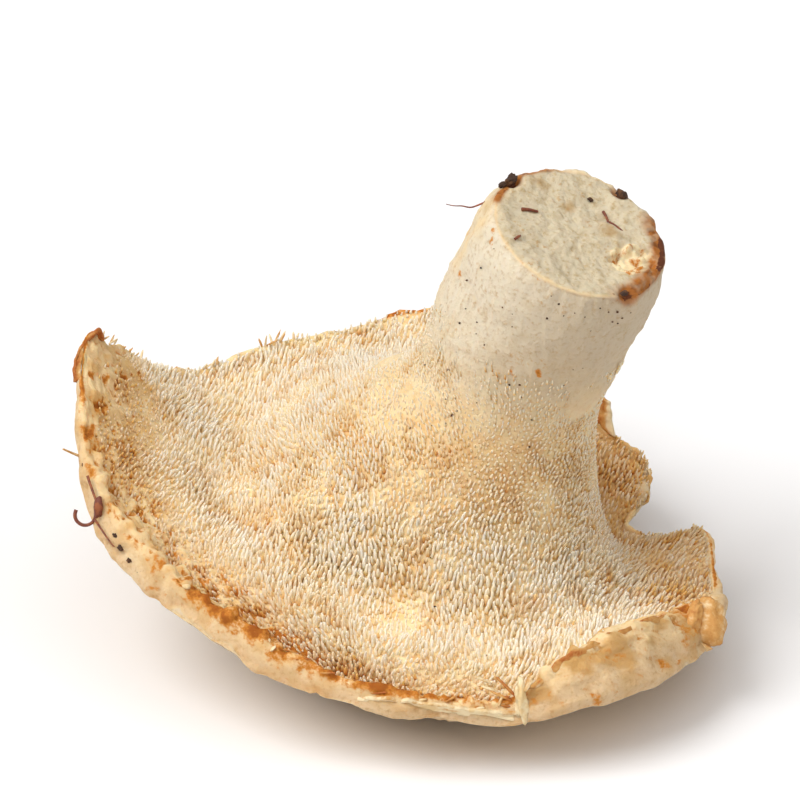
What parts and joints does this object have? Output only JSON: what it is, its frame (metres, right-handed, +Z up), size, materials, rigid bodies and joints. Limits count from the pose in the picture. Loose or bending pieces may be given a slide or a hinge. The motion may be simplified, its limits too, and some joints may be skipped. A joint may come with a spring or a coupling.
{
  "type": "hedgehog mushroom",
  "caption": "Picked hedgehog mushroom lying upside down on its cap, with a spiny underside, a curled rim and a leaning cut stem.",
  "frame": {"origin": "middle of the footprint of the bounding box, on the surface that the mushroom rests on", "axes": "+Z up, +X towards the side that the stem leans to, +Y away from the front"},
  "size_m": [0.0852, 0.08, 0.0653],
  "materials": {
    "mushroom_flesh": "matt cream flesh, felted fawn skin"
  },
  "bodies": {
    "root": {"hedgehog_mushroom": "mushroom_flesh"}
  },
  "joints": []
}
